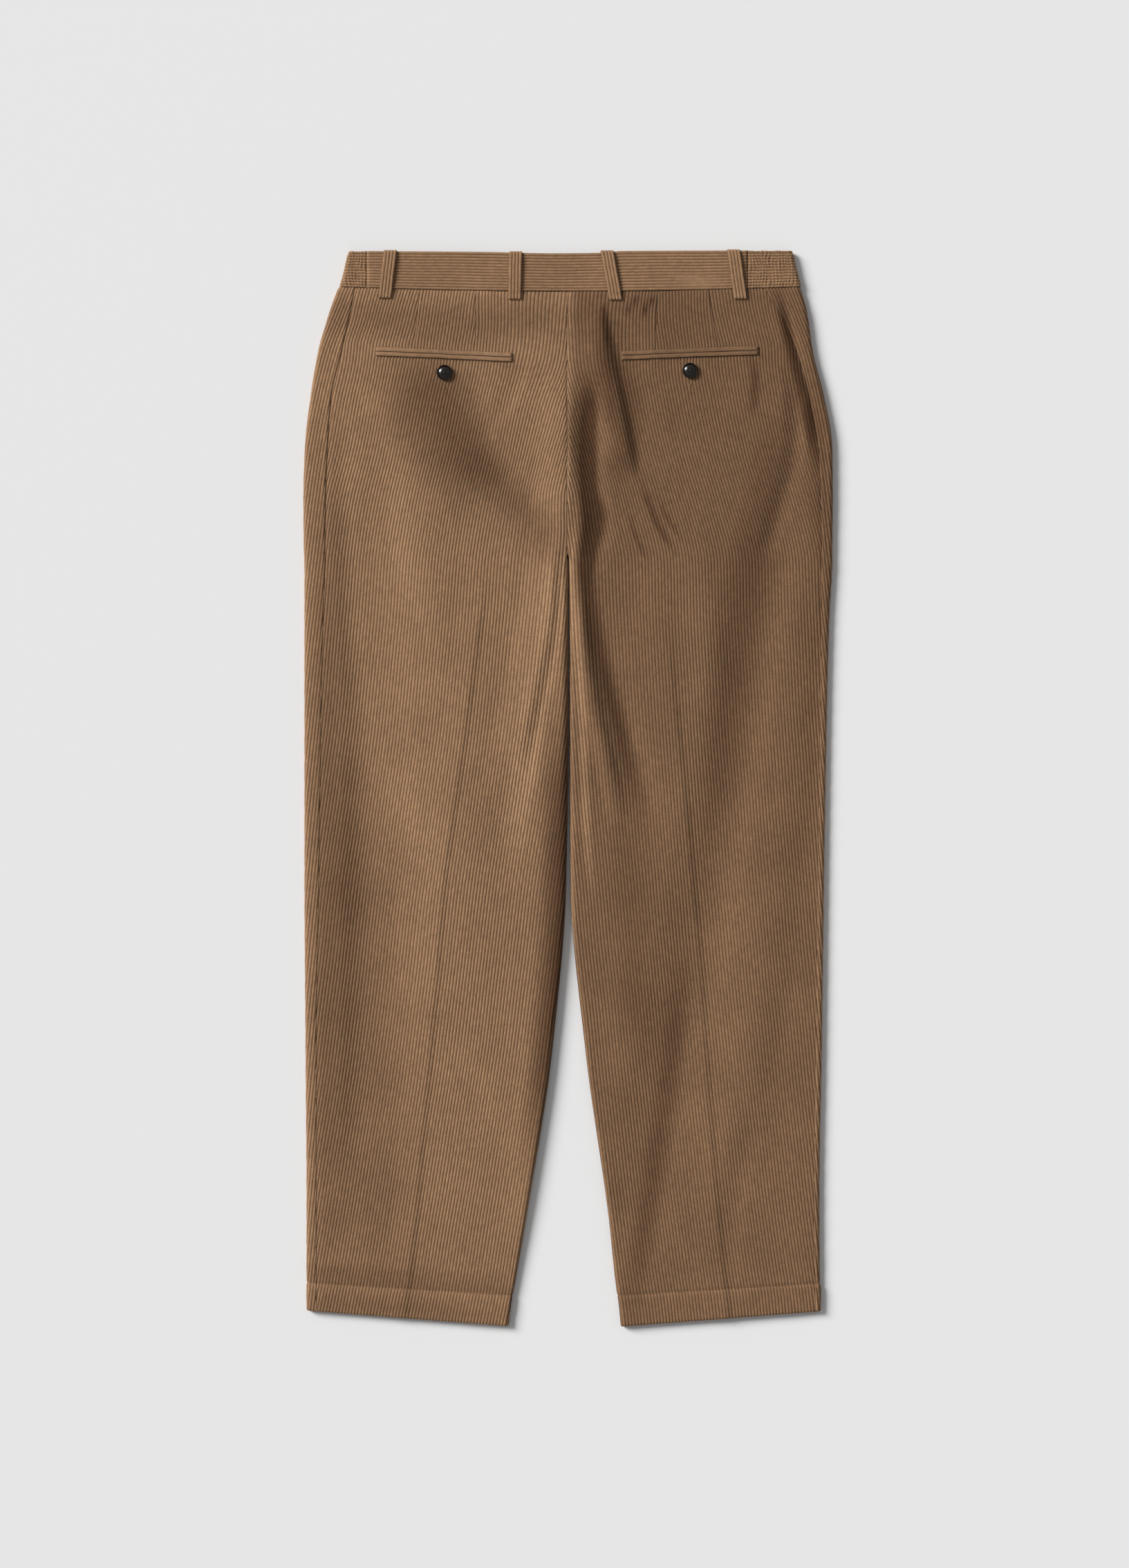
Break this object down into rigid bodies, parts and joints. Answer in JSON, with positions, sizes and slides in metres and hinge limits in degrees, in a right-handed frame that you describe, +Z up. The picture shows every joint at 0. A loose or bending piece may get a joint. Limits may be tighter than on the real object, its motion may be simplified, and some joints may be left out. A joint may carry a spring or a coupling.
{
  "type": "corduroy trousers laid flat",
  "caption": "Brown wide-wale corduroy trousers laid flat with the back up, with elasticated waist sides, belt loops and buttoned welt pockets.",
  "frame": {"origin": "on the surface the trousers lie on, under the middle of their outline", "axes": "+Y towards the waist, +Z up from the surface, +X to the wearer's right"},
  "size_m": [0.514, 1.0462, 0.0131],
  "materials": {
    "corduroy": "brushed cotton corduroy, wide wale",
    "corduroy_across": "the same corduroy cut across, for the waistband",
    "button": "polished polyester resin, black",
    "thread": "spun polyester sewing thread"
  },
  "bodies": {
    "root": {"front_left": "corduroy", "front_right": "corduroy", "back_left": "corduroy", "back_right": "corduroy", "elastic_left": "corduroy_across", "elastic_right": "corduroy_across", "waistband_front_left": "corduroy_across", "waistband_front_right": "corduroy_across", "waistband_back": "corduroy_across", "welt_upper_left": "corduroy", "welt_lower_left": "corduroy", "welt_upper_right": "corduroy", "welt_lower_right": "corduroy", "button_left": "button", "button_right": "button", "fly_placket": "corduroy", "belt_loop_1": "corduroy", "belt_loop_2": "corduroy", "belt_loop_3": "corduroy", "belt_loop_4": "corduroy"}
  },
  "joints": []
}
